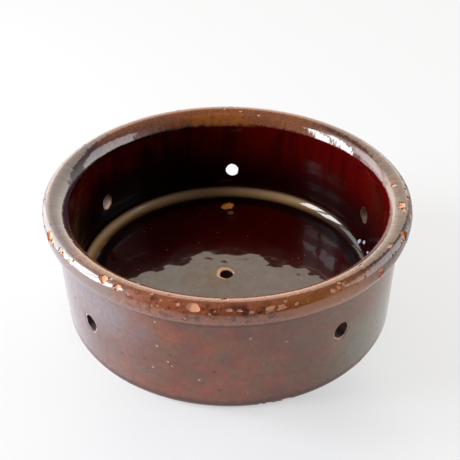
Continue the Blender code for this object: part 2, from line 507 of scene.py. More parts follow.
def thrown(name, form, turns, loose=1.0):
    """Spin the profile line about Z into an object, one sector first and then its copies."""
    sector = 2.0 * math.pi / SECTORS
    line = form.verts[:] + form.edges[:]
    bmesh.ops.spin(form, geom=line, angle=sector, steps=turns // SECTORS, **WHEEL)
    slice_of_bowl = form.verts[:] + form.edges[:] + form.faces[:]
    bmesh.ops.spin(form, geom=slice_of_bowl, angle=sector * (SECTORS - 1), steps=SECTORS - 1,
                   use_duplicate=True, **WHEEL)
    bmesh.ops.remove_doubles(form, verts=form.verts, dist=MERGE)
    form.normal_update()
    for vert in form.verts:
        settled = min(1.0, max(0.0, vert.co.z / EVEN_FOOT))
        vert.co += vert.normal * unevenness(vert.co) * settled * loose
        vert.co.x -= LEAN * (vert.co.z - UPRIGHT_AT)
    made = keep(name, form)
    print(name, "has", len(made.data.polygons), "faces as thrown")
    return made


# %% [markdown]
# The coats are drawn three quarters of a millimetre off the measured clay, and the clay is drawn up
# to just under them, so that no gap shows at a chip. The glaze poured inside ran more, so it is the
# least even. Outside the coat ends part of the way round the foot.

# %% Throw the two coats
COAT_LIFT = 0.75 * MM
COAT_THICK = 0.22 * MM
COAT_SEAM = 0.06 * MM
COAT_FOOT = 39.0
INNER_TURNS, OUTER_TURNS = 400, 360
INNER_LOOSE = 2.4

form = bmesh.new()
draw_inside(form, COAT_LIFT, 1.0)
inner_coat = thrown("poured_inner_glaze", form, INNER_TURNS, INNER_LOOSE)

form = bmesh.new()
seam = CLAY_TOP - SEAM_DROP + COAT_SEAM
draw_outside(form, dot(form, inside_at(seam) - COAT_LIFT, seam), COAT_LIFT, 1.0, COAT_FOOT)
outer_coat = thrown("rim_and_outer_glaze", form, OUTER_TURNS)

# %% Throw the clay
CLAY_LIFT = 0.5 * MM
CLAY_DENSITY = 0.6
CLAY_FOOT = 58.9
CLAY_TURNS = 240
UNDERSIDE = 71.0 * MM

form = bmesh.new()
line = draw_inside(form, CLAY_LIFT, CLAY_DENSITY)
line = draw_outside(form, line, CLAY_LIFT, CLAY_DENSITY, CLAY_FOOT)
line = straight(form, line, UNDERSIDE, 0.0, 3)
line = straight(form, line, 0.0, 0.0, 30)
clay = thrown("thrown_clay", form, CLAY_TURNS)

# %% [markdown]
# ## Drain holes
# Six holes let the whey out: five slope down and out through the wall, one goes through the floor.
# The potter pushed a tapering stick through the soft clay, so a hole in the wall is a little wider
# outside than inside, and none is quite round. The glaze was wiped back round each mouth, so its
# hole is wider and less even than the clay's. Both are cutters for Boolean modifiers, made from
# cones whose outline is pushed in and out by noise.

# %% Find the holes
DRAIN_SLOPE = 28.0
DRAINS = ((88.6, 24.5), (149.8, 26.5), (221.6, 26.2), (307.0, 32.7), (19.5, 27.8))
FLOOR_DRAIN = (-0.9, -0.4)


def outside_at(height):
    """Radius of the clay's outer wall at a height."""
    share = (height - FOOT_ROUND) / (CLAY_TOP - ROLL_HEIGHT - FOOT_ROUND)
    return WALL_FOOT_OUTSIDE + (WALL_TOP_OUTSIDE - WALL_FOOT_OUTSIDE) * share


def drain_places():
    """Where each stick went in: its centre in the clay, with local Z along the hole."""
    for azimuth, height in DRAINS:
        middle = (inside_at(height * MM) + outside_at(height * MM)) / 2.0
        tilt = Matrix.Rotation(math.radians(90.0 + DRAIN_SLOPE), 4, "Y")
        spin = Matrix.Rotation(math.radians(azimuth), 4, "Z")
        yield spin @ Matrix.Translation((middle, 0.0, height * MM)) @ tilt
    yield Matrix.Translation((FLOOR_DRAIN[0] * MM, FLOOR_DRAIN[1] * MM, FLOOR_THICK / 2.0))


print("drain holes:", len(DRAINS) + 1)

# %% Make the hole cutters
DRAIN_RADIUS = 3.4 * MM
STICK_LENGTH = 24.0 * MM
STICK_SIDES = 36
STICK_TIP = -0.5 * MM
STICK_BUTT = 0.8 * MM
KNOBBLES = 420.0
WIPED_ASIDE = Vector((-4.2, 4.2, 0.0)) * MM


def sticks(name, radius, waver, spread=0.0):
    """A slightly wavering rod through every drain hole, the floor's wider and aside by a spread."""
    form = bmesh.new()
    for number, where in enumerate(drain_places()):
        in_wall = number < len(DRAINS)
        rod = bmesh.ops.create_cone(form, cap_ends=True, segments=STICK_SIDES,
                                    radius1=radius + in_wall * STICK_TIP,
                                    radius2=radius + in_wall * STICK_BUTT,
                                    depth=STICK_LENGTH)["verts"]
        for vert in rod:
            outline = Vector((vert.co.x, vert.co.y, 0.0)) * KNOBBLES
            vert.co.xy *= 1.0 + waver * noise.noise(outline + Vector((0.0, 0.0, number)))
        if not in_wall:
            bmesh.ops.scale(form, verts=rod, vec=(1.0 + spread, 1.0 + spread, 1.0))
            bmesh.ops.translate(form, verts=rod, vec=WIPED_ASIDE * spread)
        bmesh.ops.transform(form, matrix=where, verts=rod)
    return keep(name, form)


WIPED_BACK = 0.55 * MM
CLAY_WAVER, GLAZE_WAVER = 0.10, 0.22
FLOOR_WIPE = 0.19

clay_sticks = sticks("clay_sticks", DRAIN_RADIUS, CLAY_WAVER)
wiped_mouths = sticks("wiped_mouths", DRAIN_RADIUS + WIPED_BACK, GLAZE_WAVER, FLOOR_WIPE)
print("a drain is", round(2.0 * DRAIN_RADIUS / MM, 1), "mm wide")

# %% [markdown]
# ## Chips
# Years of use knocked flakes of glaze off the rim, and the pale clay shows where they went. Each
# chip is bitten out of the glaze and a little of the clay with a lumpy, flattened icosphere, so it
# has a real broken edge. A ray from the middle of the rim or the foot finds the surface that the
# lump sits on.

# %% Bite a chip
RIM_CORE = (79.6, 55.6)
FOOT_CORE = (75.2, 3.0)
HALF_WAY_UP = 30.0
LUMPINESS = 0.65
LUMPS = 2.3
FLAT_BELOW = -0.5
CHIP_SIZE = 0.70
CHIP_LEAST, CHIP_DEEPENS = 0.55, 0.16


def bite(form, azimuth, radius, height, length, width, seed):
    """A flattened lump on the glaze, out from the rim's core towards a place, to cut a chip."""
    core = RIM_CORE if height > HALF_WAY_UP else FOOT_CORE
    spin = Matrix.Rotation(math.radians(azimuth), 4, "Z")
    start = spin @ Vector((core[0], 0.0, core[1])) * MM
    aim = spin @ Vector((radius - core[0], 0.0, height - core[1]))
    _, spot, away, _ = outer_coat.ray_cast(start, aim.normalized())
    along = spin @ Vector((0.0, 1.0, 0.0))
    across = away.cross(along).normalized()
    stance = Matrix((across.cross(away), across, away)).transposed().to_4x4()
    lump = bmesh.ops.create_icosphere(form, subdivisions=2, radius=1.0)["verts"]
    for vert in lump:
        place_in_noise = vert.co * LUMPS + Vector((seed * 7.3, seed * 1.7, 0.0))
        vert.co *= 1.0 + LUMPINESS * noise.noise(place_in_noise)
        vert.co.z = max(vert.co.z, FLAT_BELOW)
    deep = CHIP_LEAST + CHIP_DEEPENS * width ** 2
    size = Vector((CHIP_SIZE * length, CHIP_SIZE * width, deep)) * MM
    bmesh.ops.scale(form, verts=lump, vec=size)
    bmesh.ops.transform(form, matrix=Matrix.Translation(spot) @ stance, verts=lump)


bpy.context.view_layer.update()
print("a chip is at least", CHIP_LEAST * -FLAT_BELOW, "mm deep")

# %% [markdown]
# The larger chips sit where the photograph shows them, given by their compass angle, radius, height,
# length along the rim and width across it, all in degrees and millimetres. Smaller flakes are strewn
# along the rim's outer edge with a seeded random generator, so they fall the same way every time.

# %% Make the chip cutters
CHIPS = (
    (205.4, 83.6, 58.2, 4.2, 3.4), (233.5, 82.4, 60.1, 3.3, 2.6), (238.6, 82.8, 59.7, 2.4, 2.0),
    (242.5, 77.2, 60.5, 2.4, 0.9), (254.3, 79.9, 61.0, 2.3, 0.9), (251.3, 83.6, 57.7, 1.2, 1.2),
    (251.8, 82.6, 59.9, 1.2, 0.9), (256.7, 82.8, 59.7, 1.5, 1.2), (261.1, 83.0, 59.2, 4.8, 2.6),
    (258.6, 83.6, 54.3, 1.5, 1.2), (266.1, 83.7, 56.3, 1.1, 0.9), (269.4, 78.8, 60.8, 2.3, 1.5),
    (270.4, 83.2, 59.1, 1.9, 1.1), (273.1, 83.2, 58.8, 1.5, 1.1), (276.3, 83.6, 57.9, 1.5, 1.5),
    (281.4, 83.3, 58.6, 4.4, 2.0), (283.8, 83.4, 58.6, 3.6, 2.2), (288.5, 83.3, 58.7, 1.5, 1.2),
    (299.9, 82.8, 59.6, 2.0, 1.6), (301.8, 82.6, 60.0, 1.6, 1.6), (303.9, 82.3, 60.3, 1.6, 1.6),
    (317.9, 83.7, 56.2, 3.2, 3.8), (326.6, 80.5, 61.0, 2.9, 1.3), (334.9, 82.9, 59.6, 4.0, 3.6),
    (336.6, 83.6, 53.9, 1.3, 2.6), (346.3, 83.2, 58.8, 4.0, 1.8), (347.4, 79.5, 61.0, 2.8, 1.7),
    (336.5, 83.7, 56.2, 1.3, 1.3), (331.0, 83.1, 59.1, 1.3, 0.9), (326.3, 83.2, 58.8, 1.3, 0.9),
    (210.4, 76.3, 59.9, 2.6, 1.3), (92.0, 78.8, 60.8, 1.1, 1.1), (85.6, 77.3, 60.6, 1.6, 1.1),
    (78.1, 75.9, 59.6, 1.6, 1.1), (313.3, 78.4, 60.8, 1.6, 1.2), (349.9, 78.3, 60.8, 3.4, 2.6),
    (2.4, 82.5, 59.9, 2.2, 1.8), (354.5, 81.9, 60.6, 2.6, 1.8), (2.8, 76.7, 60.2, 1.9, 1.9),
    (213.5, 83.1, 59.0, 1.7, 1.3), (210.0, 83.5, 58.0, 1.7, 1.3), (199.8, 83.6, 57.8, 1.7, 1.3),
    (193.3, 83.4, 58.3, 1.8, 0.9), (288.6, 78.7, 1.3, 4.6, 1.8), (237.2, 78.7, 1.9, 1.8, 0.9),
    (317.4, 78.5, 2.4, 4.2, 1.4), (283.2, 78.6, 1.0, 2.8, 1.4), (280.6, 78.6, 1.0, 1.8, 1.2),
    (208.2, 83.4, 58.6, 2.4, 1.6), (216.0, 83.2, 58.9, 2.2, 1.4), (219.5, 83.3, 58.6, 2.6, 1.5),
)
FLAKES = 45
FLAKE_SEED = 11
FLAKE_LEAN = (12.0, 80.0)
FLAKE_SIZE = (0.5, 1.1)
FLAKE_LENGTH = (1.0, 1.6)
EDGE_MIDDLE = (80.73, 55.9)
EDGE_HALF = (3.15, 5.15)

form = bmesh.new()
for seed, chip in enumerate(CHIPS):
    bite(form, *chip, seed)
strewn = random.Random(FLAKE_SEED)
for flake in range(FLAKES):
    lean = math.radians(strewn.uniform(*FLAKE_LEAN))
    size = strewn.uniform(*FLAKE_SIZE)
    azimuth = strewn.uniform(0.0, 360.0)
    radius = EDGE_MIDDLE[0] + EDGE_HALF[0] * math.cos(lean)
    height = EDGE_MIDDLE[1] + EDGE_HALF[1] * math.sin(lean)
    length = size * strewn.uniform(*FLAKE_LENGTH)
    bite(form, azimuth, radius, height, length, size, 100 + flake)
chips = keep("chips", form)
print("chips:", len(CHIPS), "flakes:", FLAKES)

# %% [markdown]
# ## Drops
# Where the glaze ran down the wall it gathered in a few drops on the curve above the floor. Each is a
# small flat dome joined to the coat, so it mirrors the window as a bright dot, and its colour is later
# painted bluish white as a glint. A place is given by its compass angle and height, and a ray from the
# curve's centre finds the surface.

# %% Make the drops
DROPS = ((18.7, 13.5, 1.25), (15.9, 15.2, 1.1), (10.4, 13.9, 0.8))
DROP_ROOT = 0.12 * MM
DROP_RISE = 0.5

drop_spots = []
form = bmesh.new()
for azimuth, height, size in DROPS:
    spin = Matrix.Rotation(math.radians(azimuth), 4, "Z")
    start = spin @ Vector((inside_at(0.0) - FILLET, 0.0, FLOOR_THICK + FILLET))
    reach = math.sqrt(FILLET ** 2 - (FLOOR_THICK + FILLET - height * MM) ** 2)
    aim = spin @ Vector((reach, 0.0, height * MM - FLOOR_THICK - FILLET))
    _, spot, away, _ = inner_coat.ray_cast(start, aim.normalized())
    drop_spots.append((spot / MM, size))
    dome = bmesh.ops.create_icosphere(form, subdivisions=3, radius=size * MM)["verts"]
    for vert in dome:
        vert.co.z = max(DROP_RISE * vert.co.z, -DROP_ROOT)
    stance = Matrix.Translation(spot) @ away.to_track_quat("Z", "Y").to_matrix().to_4x4()
    bmesh.ops.transform(form, matrix=stance, verts=dome)
drops = keep("drops", form)
print("drops:", len(drop_spots))

# %% [markdown]
# ## Cutting and settling
# The coats are still thin sheets. A Solidify modifier grows each one towards the clay, Boolean
# modifiers pierce and chip it, and the result is then kept as a plain mesh so that no cutter has to
# stay in the scene. Two chips that overlap can set a crumb loose, which is swept away.
# Edges sharper than a threshold stay crisp, the rest is shaded smooth.


# %% Sweep up crumbs
def drop_crumbs(mesh):
    """Keep the largest connected part of a mesh and delete any crumb that a cut has set loose."""
    form = bmesh.new()
    form.from_mesh(mesh)
    waiting = set(form.verts)
    parts = []
    while waiting:
        edge = [waiting.pop()]
        whole = list(edge)
        while edge:
            reached = {link.other_vert(vert) for vert in edge for link in vert.link_edges}
            edge = list(reached & waiting)
            waiting.difference_update(edge)
            whole += edge
        parts.append(whole)
    parts.sort(key=len)
    for crumb in parts[:-1]:
        bmesh.ops.delete(form, geom=crumb, context="VERTS")
    form.to_mesh(mesh)
    form.free()
    return len(parts) - 1


# %% Cut the pieces and keep the result
CRISP = math.radians(38.0)


def settle(piece, thick, cutters, joined=()):
    """Give a piece its thickness, join or cut it with others and store the finished mesh."""
    if thick:
        wall = piece.modifiers.new("thickness", "SOLIDIFY")
        wall.thickness = thick
        wall.offset = -1.0
    for tool in (*joined, *cutters):
        change = piece.modifiers.new(tool.name, "BOOLEAN")
        change.operation = "UNION" if tool in joined else "DIFFERENCE"
        change.solver = "MANIFOLD"
        change.object = tool
    graph = bpy.context.evaluated_depsgraph_get()
    finished = bpy.data.meshes.new_from_object(piece.evaluated_get(graph))
    crumbs = drop_crumbs(finished)
    piece.modifiers.clear()
    piece.data = finished
    finished.name = piece.name
    finished.shade_smooth()
    finished.set_sharp_from_angle(angle=CRISP)
    print(piece.name, "has", len(finished.polygons), "faces when cut, crumbs dropped:", crumbs)


settle(inner_coat, COAT_THICK, (wiped_mouths,), joined=(drops,))
settle(outer_coat, COAT_THICK, (wiped_mouths, chips))
settle(clay, 0.0, (clay_sticks, chips))
for tool in (clay_sticks, wiped_mouths, chips, drops):
    bpy.data.objects.remove(tool, do_unlink=True)

# %% [markdown]
# ## Shared effects
# All three finishes need to know where on the bowl they are, and several of them share an effect,
# so these are node groups. A group is built once and placed in each finish with its own values. The
# first gives the place in millimetres, the distance from the bowl's axis, the height, and a place
# that is drawn out along the bowl's section, for strokes that run across the rim.


# %% Build the group for places
def group(name, inputs, outputs):
    """An empty node group with named float or vector sockets, and its two ends."""
    made = bpy.data.node_groups.new(name, "ShaderNodeTree")
    for way, sockets in (("INPUT", inputs), ("OUTPUT", outputs)):
        for label, kind in sockets.items():
            made.interface.new_socket(name=label, in_out=way, socket_type="NodeSocket" + kind)
    return made, made.nodes.new("NodeGroupInput").outputs, made.nodes.new("NodeGroupOutput")


AROUND_REACH = 80.0
ACROSS_SHARE = 0.12

outputs = {"Where": "Vector", "Radius": "Float", "Height": "Float", "Around": "Vector"}
bowl_place, _, ends = group("bowl_place", {}, outputs)
tree = bowl_place
spot = stretched(place("TexCoord", {}).outputs["Object"], 1.0 / MM)
flat = arrows("MULTIPLY", spot, (1.0, 1.0, 0.0))
away = reach_of(flat)
tall = part(spot, "Z")
compass = stretched(arrows("NORMALIZE", flat), AROUND_REACH)
across = both(sums("ADD", away, tall), ACROSS_SHARE)
around = arrows("ADD", compass, place("CombineXYZ", {"Z": across}).outputs[0])
fill(ends, {"Where": spot, "Radius": away, "Height": tall, "Around": around})
count(tree.name)

# %% [markdown]
# The skin of the glaze swells gently, is peeled like an orange, and is a little gritty. Three clouds
# of different fineness are added up, and the middle one is handed out for the roughness as well.

# %% Build the group for the glaze's skin
SKIN_CLOUDS = ((0.22, 2.0, 0.6), (0.9, 3.0, 0.30), (3.2, 2.0, 0.06))

outputs = {"Height": "Float", "Cloud": "Float"}
glaze_skin, starts, ends = group("glaze_skin", {"Where": "Vector"}, outputs)
tree = glaze_skin
clouds = [cloud(starts["Where"], scale, detail) for scale, detail, _ in SKIN_CLOUDS]
swell, peel, grit = (both(layer, row[2]) for layer, row in zip(clouds, SKIN_CLOUDS))
fill(ends, {"Height": sums("ADD", sums("ADD", swell, peel), grit), "Cloud": clouds[1]})
count(tree.name)

# %% [markdown]
# Nothing on a hand-made bowl has a clean outline. The ragged group shakes the places that a mask is
# worked out from, so that the mask's edge frays.


# %% Build the group for ragged edges
def shaken_by(where, sockets):
    """A random vector about zero for every place."""
    shaken = place("TexNoise", {"Vector": where, **sockets}).outputs["Color"]
    return arrows("SUBTRACT", shaken, (0.5, 0.5, 0.5))


inputs = {"Where": "Vector", "Fineness": "Float", "Reach": "Float"}
ragged, starts, ends = group("ragged", inputs, {"Where": "Vector"})
tree = ragged
shaken = shaken_by(starts["Where"], {"Scale": starts["Fineness"], "Detail": 3.0})
shaken = stretched(shaken, starts["Reach"])
fill(ends, {"Where": arrows("ADD", starts["Where"], shaken)})
count(tree.name)

# %% [markdown]
# The specks group scatters dots of varied size. A Voronoi texture gives cells, a share of them is
# chosen by their random colour, and shaken places keep the dots from being quite round.

# %% Build the group for specks
SPECK_CORE = 0.55

inputs = {"Where": "Vector", "Apart": "Float", "Across": "Float", "Share": "Float"}
specks, starts, ends = group("specks", inputs, {"Mask": "Float"})
tree = specks
shaken = arrows("ADD", starts["Where"], shaken_by(starts["Where"], {"Scale": 1.1, "Detail": 2.0}))
often = sums("DIVIDE", 1.0, starts["Apart"])
cells = place("TexVoronoi", {"Vector": shaken, "Scale": often}).outputs
away = both(cells["Distance"], starts["Apart"])
chance = place("SeparateColor", {0: cells["Color"]}).outputs
reach = both(starts["Across"], chance[1])
dots = fade(away, reach, both(reach, SPECK_CORE))
chosen = sums("LESS_THAN", chance[0], starts["Share"])
fill(ends, {"Mask": both(dots, chosen)})
count(tree.name)


# %% [markdown]
# ## Clay
# Fired red earthenware is matt and grainy: a peach to brick-red ground with darker grains. It shows
# only where the glaze ends: in the chips, round the holes, where it was wiped pale, and on the foot,
# whose lowest edge the fire has stained dark. Shades are laid one over the other, as a potter would
# brush slips: each has a mask, and a strength if it lets some of the last one through. Places are in
# millimetres from here on, and a fade is given by where it starts and where it is full.


# %% Lay shades and use the groups
def use(shared, sockets):
    """Place a node group in the tree in hand."""
    made = tree.nodes.new("ShaderNodeGroup")
    made.node_tree = shared
    return fill(made, sockets).outputs


def dotted(where, spacing, width, share):
    """Specks of a spacing and a greatest width, in a share of their cells."""
    return use(specks, {"Where": where, "Apart": spacing, "Across": width, "Share": share})[0]


def fray(where, fineness, reach):
    """Places shaken by up to half a reach, for masks with ragged edges."""
    return use(ragged, {"Where": where, "Fineness": fineness, "Reach": reach})[0]


def tint(colour, *layers):
    """Lay shades over a colour one after another, each where its mask says, some at a strength."""
    for mask, shade, *strength in layers:
        colour = blend(both(mask, *strength), colour, (*shade, 1.0))
    return colour


def relief_of(height, strength):
    """A bumped normal from a height."""
    sockets = {"Height": height, "Strength": strength, "Distance": 0.3 * MM}
    return place("Bump", sockets).outputs[0]


def fire(made, sockets):
    """End a finish with the one shader that shows it."""
    shader = place("BsdfPrincipled", sockets).outputs[0]
    place("OutputMaterial", {"Surface": shader})
    count(made.name)


# %% Mix the bare clay
BRICK, PEACH = (0.80, 0.34, 0.18, 1.0), (0.96, 0.52, 0.33, 1.0)
DARK_GRAIN, SCORCHED = (0.30, 0.10, 0.05), (0.12, 0.035, 0.018)
WIPED_WALL, WIPED_AND_SHEEN_LEFT, WIPED_FLOOR = (0.48, 0.34, 0.27), (0.72, 0.62, 0.62), (1.0, 0.61, 0.36)
LEFT_FRONT_DRAIN = (-59.1, -52.4, 24.7)

fired_clay = bpy.data.materials.new("fired_red_clay")
tree = emptied(fired_clay)
where, radius, height, _ = use(bowl_place, {})
grains = dotted(where, 1.3, 0.4, 0.30)
scorch = both(fade(height, 0.5, 0.2), fade(radius, 72.5, 75.5))
mouths = both(band(height, 14.0, 18.0, 38.0, 42.0), fade(radius, 78.6, 78.9))
floor_mouth = both(fade(height, 9.7, 10.1), fade(radius, 9.0, 7.5))
# the front left hole's pale rim is wiped clay with a painted lilac sheen on it
left_mouth = both(mouths, patch(where, LEFT_FRONT_DRAIN, 10.0))
colour = blend(cloud(where, 0.35, 4.0), BRICK, PEACH)
colour = tint(colour, (grains, DARK_GRAIN, 0.5), (scorch, SCORCHED, 0.7), (mouths, WIPED_WALL, 0.8),
              (floor_mouth, WIPED_FLOOR, 0.7), (left_mouth, WIPED_AND_SHEEN_LEFT, 0.8))
count("bare clay")

# %% [markdown]
# Some glaze ran into the holes, so they are less matt and dark inside, and a painted shade darkens
# them further. In two holes that catch the light the painted shade is lifted and bare clay is seen.

# %% Darken the holes and finish the clay
RUN_IN_AND_SHADE = (0.026, 0.005, 0.003)
RIGHT_DRAIN, LEFT_DRAIN = (71.6, 25.4, 27.8), (-62.0, 34.5, 26.0)
RIGHT_LIT, LEFT_LIT, MOST_LIT = 0.25, 0.65, 0.55

in_wall = both(fade(radius, 79.0, 78.8), band(height, 11.5, 13.0, 46.0, 50.0))
in_floor = both(fade(radius, 7.0, 6.0), band(height, 0.1, 0.6, 9.6, 10.0))
run_in_and_shade = either(in_wall, in_floor)
# painted light: the two holes that catch the light keep more of the bare clay's colour
lit_holes = both(patch(where, RIGHT_DRAIN, 8.0), RIGHT_LIT)
lit_holes = either(lit_holes, both(patch(where, LEFT_DRAIN, 8.0), LEFT_LIT))
colour = tint(colour, (without(run_in_and_shade, both(lit_holes, MOST_LIT)), RUN_IN_AND_SHADE))
rough = ramp(cloud(where, 1.2, 2.0), 0.0, 1.0, 0.78, 0.95)
rough = sums("SUBTRACT", rough, both(run_in_and_shade, 0.2))
relief = relief_of(cloud(where, 2.2, 4.0), 0.5)
fire(fired_clay, {"Base Color": colour, "Roughness": rough, "Normal": relief, "IOR": 1.45})

# %% [markdown]
# ## Inner glaze
# Poured thick, the glaze inside is a deep blood red that drinks most of the light, so it is seen
# mainly by what it mirrors. It ran down the wall and pooled above the floor, where it is nearly
# black. A painted shade also blackens the back left of the wall, which the window's light misses.

# %% Lay the red ground
DARK_RED, MIDDLE_RED = (0.028, 0.0006, 0.0005, 1.0), (0.055, 0.0010, 0.0008, 1.0)
DEEP_RED, POOLED = (0.072, 0.0010, 0.0008), (0.010, 0.0005, 0.0005)
WALL_PAINTED_SHADE, DARK_SPECK = (0.005, 0.0004, 0.0004), (0.012, 0.0008, 0.0006)
BACK_LEFT = (-66.0, 36.0, 30.0)
DOWNWARD = (1.0, 1.0, 0.12)

inner_finish = bpy.data.materials.new("deep_red_glaze")
tree = emptied(inner_finish)
where, radius, height, _ = use(bowl_place, {})
high = fade(height, 22.0, 46.0)
runs = fade(cloud(where, 0.16, 3.0, stretch=DOWNWARD), 0.45, 0.62)
runs = both(runs, fade(height, 12.0, 20.0), 0.5)
pooled = either(both(band(height, 10.8, 12.5, 20.0, 44.0), 0.8), runs)
# painted shade: a ragged dark patch on the back left of the wall, where the window's light does not
# fall
billows = fray(where, 0.07, 34.0)
shadow = both(patch(billows, BACK_LEFT, 78.0, 0.6), fade(height, 11.5, 16.0))
shadow = both(shadow, scaled(fade(part(billows, "Z"), 50.0, 34.0), 0.42, 0.50))
iron = dotted(where, 4.0, 0.9, 0.4)
colour = blend(cloud(where, 0.06, 3.0), DARK_RED, MIDDLE_RED)
colour = tint(colour, (high, DEEP_RED), (pooled, POOLED), (shadow, WALL_PAINTED_SHADE),
              (iron, DARK_SPECK, 0.6))
count("red ground")

# %% [markdown]
# The floor is worn brown beside its hole and has open pores. On the curve between wall and floor the
# glaze lies thin and shows as an olive ring, paled at its top by a painted reflection, with a black
# line below it. A spot of thin amber glaze with a painted tan highlight beside it lies near the back,
# and the drops at the right are painted with a bluish-white glint.

# %% Paint the floor and the ring
WORN, PORE, BLACK_LINE = (0.24, 0.125, 0.035), (0.30, 0.16, 0.09), (0.006, 0.0008, 0.0005)
OLIVE, OLIVE_REFLECTION = (0.36, 0.19, 0.045, 1.0), (0.58, 0.37, 0.19, 1.0)
AMBER, TAN_HIGHLIGHT, PAINTED_GLINT = (1.0, 0.34, 0.05), (0.25, 0.14, 0.07), (0.60, 0.62, 0.76)
WORN_SPOT, AMBER_SPOT, TAN_HIGHLIGHT_SPOT = (-9.0, -6.0, 10.5), (-0.6, 59.5, 10.5), (1.0, 53.2, 10.5)

frayed = fray(where, 0.25, 6.0)
on_floor = fade(height, 11.4, 11.0)
worn = both(on_floor, patch(frayed, WORN_SPOT, 19.0, 0.2))
worn = both(worn, fade(cloud(where, 0.20, 5.0, 0.65), 0.42, 0.62))
pores = both(dotted(where, 3.2, 0.7, 0.25), on_floor)
brim = both(fade(radius, 60.5, 63.5), fade(height, 11.6, 11.2))
colour = tint(colour, (worn, WORN, 0.9), (pores, PORE, 0.55), (brim, BLACK_LINE, 0.85))
ring = both(band(height, 11.0, 12.4, 13.8, 16.0), fade(part(frayed, "X"), 66.0, 30.0))
# thin glaze gives the olive ring, and a painted reflection pales its top
olive = blend(fade(height, 11.8, 13.6), OLIVE, OLIVE_REFLECTION)
colour = blend(both(ring, 0.95), colour, olive)
amber = both(patch(frayed, AMBER_SPOT, 3.9, 0.6), on_floor)
# painted highlight: a small tan spot beside the amber one
tan = both(patch(where, TAN_HIGHLIGHT_SPOT, 2.2, 0.4), on_floor)
colour = tint(colour, (amber, AMBER), (tan, TAN_HIGHLIGHT, 0.7))
# painted glint: each drop's colour is paled to bluish white
for middle, size in drop_spots:
    colour = tint(colour, (patch(where, middle, 1.1 * size, 0.75), PAINTED_GLINT, 0.8))
count("painted floor")

# %% [markdown]
# The glaze is glassier on the front of the floor, on the right of the curve, in thin bands that
# follow the fingers' rings and in two broader bands on the right wall. A clear coat over the red
# mirrors the room there, and its weight says how much. Where the floor is worn, it is weaker.

# %% Gloss the inner glaze
RINGED = (0.05, 0.05, 1.0)
RIGHT_WALL = (55.0, 49.0, 33.0)

skin = use(glaze_skin, {"Where": where})
rough = ramp(skin["Cloud"], 0.0, 1.0, 0.16, 0.26)
sideways, backward = part(where, "X"), part(where, "Y")
shine = both(fade(height, 12.0, 11.2), fade(backward, 50.0, 20.0))
shine = both(shine, ramp(cloud(where, 0.42, 5.0, 0.65), 0.3, 0.7, 0.78, 1.0))
shine = without(shine, both(fade(radius, 61.5, 63.5), fade(sideways, -20.0, -45.0)))
curve = both(band(height, 10.9, 11.5, 15.5, 19.0), 0.85)
shine = either(shine, both(curve, fade(sideways, -10.0, 20.0)))
thin_bands = fade(cloud(where, 0.30, 2.0, stretch=RINGED), 0.50, 0.62)
shine = either(shine, both(thin_bands, fade(sideways, 52.0, 24.0), 0.30))
tall = part(frayed, "Z")
broad_bands = either(both(band(tall, 22.0, 24.5, 27.0, 29.0), 0.6), band(tall, 32.5, 35.0, 39.5, 42.0))
shine = either(shine, both(broad_bands, patch(where, RIGHT_WALL, 30.0), 0.45))
shine = without(shine, both(worn, 0.65))
relief = relief_of(skin["Height"], 0.18)
fire(inner_finish, {"Base Color": colour, "Roughness": rough, "Normal": relief, "IOR": 1.2,
                    "Coat Weight": shine, "Coat Roughness": 0.04, "Coat IOR": 1.63})

# %% [markdown]
# ## Outer glaze
# Outside the coat is thinner, so the red clay warms it to a mottled brown. The fire has smoked it grey
# in patches, and a painted sheen turns it grey-green towards the right and lilac towards the left,
# palest high on the left. It is darker low on the foot, and darkest in the neck under the rim, where
# gathered glaze and painted shade meet.

# %% Lay the brown ground
RED_BROWN, ORANGE_BROWN = (0.180, 0.037, 0.014, 1.0), (0.300, 0.056, 0.013, 1.0)
SMOKE_AND_SHEEN, SHEEN_GREY_GREEN = (0.130, 0.088, 0.045), (0.160, 0.153, 0.104)
SHEEN_LILAC, SHEEN_PALE_LILAC = (0.150, 0.094, 0.092), (0.235, 0.200, 0.225)
FOOT_BROWN, NECK_POOL_AND_SHADE = (0.075, 0.011, 0.004), (0.030, 0.012, 0.010)

outer_finish = bpy.data.materials.new("brown_glaze")
tree = emptied(outer_finish)
where, radius, height, around = use(bowl_place, {})
frayed = fray(where, 0.12, 16.0)
side = part(frayed, "X")
# smoky patches at random, plus a painted sheen that grows towards the right
smoke_and_sheen = both(fade(cloud(where, 0.10, 5.0, 0.62), 0.36, 0.66), 0.40)
smoke_and_sheen = sums("ADD", smoke_and_sheen, both(fade(side, 5.0, 55.0), 0.40))
# painted sheen: lilac on the left, palest high on the left flank, grey-green low on the right
lilac = fade(side, -22.0, -58.0)
high_left = either(fade(height, 20.0, 38.0), fade(side, -56.0, -70.0))
high_left = both(lilac, high_left, fade(height, 50.0, 47.0))
low_right = both(fade(side, 38.0, 58.0), fade(height, 38.0, 24.0))
ground = fade(cloud(where, 0.045, 4.0, 0.6), 0.36, 0.64)
colour = blend(ground, RED_BROWN, ORANGE_BROWN)
colour = tint(colour, (smoke_and_sheen, SMOKE_AND_SHEEN), (lilac, SHEEN_LILAC, 0.80), (high_left, SHEEN_PALE_LILAC, 0.65),
              (low_right, SHEEN_GREY_GREEN, 0.70))
mottle = cloud(where, 0.45, 4.0)
colour = blend(0.4, colour, ramp(mottle, 0.25, 0.75, 0.5, 1.5), "MULTIPLY")
foot = fade(sums("ADD", height, both(mottle, 3.0)), 7.5, 4.0)
# the neck under the rim's roll is darkened by gathered glaze and by painted shade
neck = both(band(height, 46.4, 48.0, 49.2, 50.4), fade(radius, 82.2, 81.0))
colour = tint(colour, (foot, FOOT_BROWN, 0.9), (neck, NECK_POOL_AND_SHADE, 0.85))
count("brown ground")

# %% [markdown]
# On the rim the coat is freckled and streaked across by the brush. At its sides it is darker, and
# on the right it is dappled with wear.

